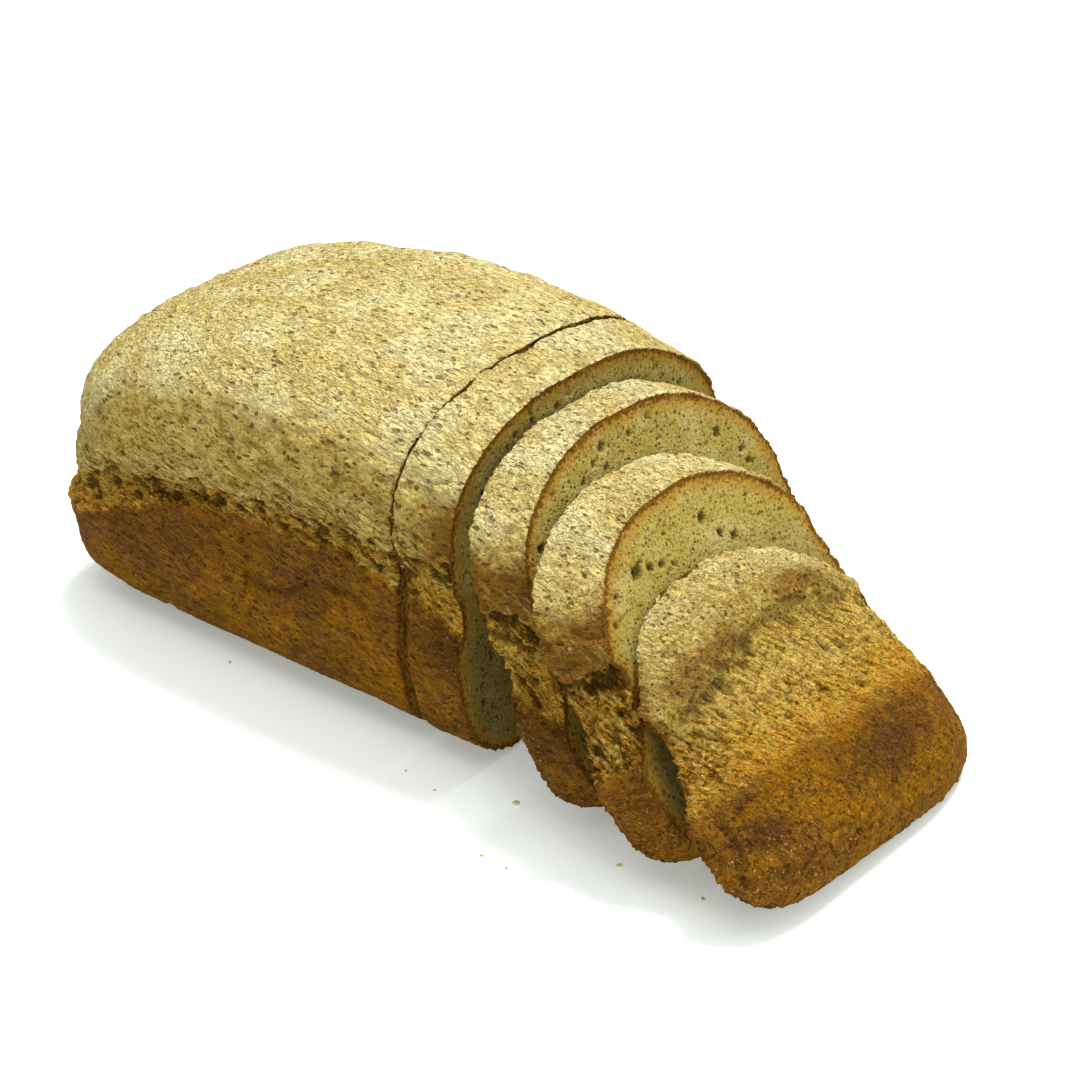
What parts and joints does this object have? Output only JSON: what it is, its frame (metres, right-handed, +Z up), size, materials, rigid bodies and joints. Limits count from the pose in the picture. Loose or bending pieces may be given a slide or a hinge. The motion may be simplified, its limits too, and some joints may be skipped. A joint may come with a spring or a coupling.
{
  "type": "partly sliced bread loaf",
  "caption": "Brown bread loaf baked in a tin, with a domed crust and one end cut into slices that lean back against the block.",
  "frame": {"origin": "centre of the whole part's bounding box, on the surface it stands on", "axes": "+X along the loaf from the uncut end to the sliced end, +Z up"},
  "size_m": [0.286, 0.1484, 0.1079],
  "materials": {
    "crust": "baked bread crust, dry and matte, pale tan dome over a dark brown tin side",
    "crumb": "cut brown bread crumb, matte and finely porous, inside a thin crust"
  },
  "bodies": {
    "root": {"loaf": "crust", "slice_1": "crumb", "slice_2": "crumb", "slice_3": "crumb", "heel": "crust"}
  },
  "joints": []
}
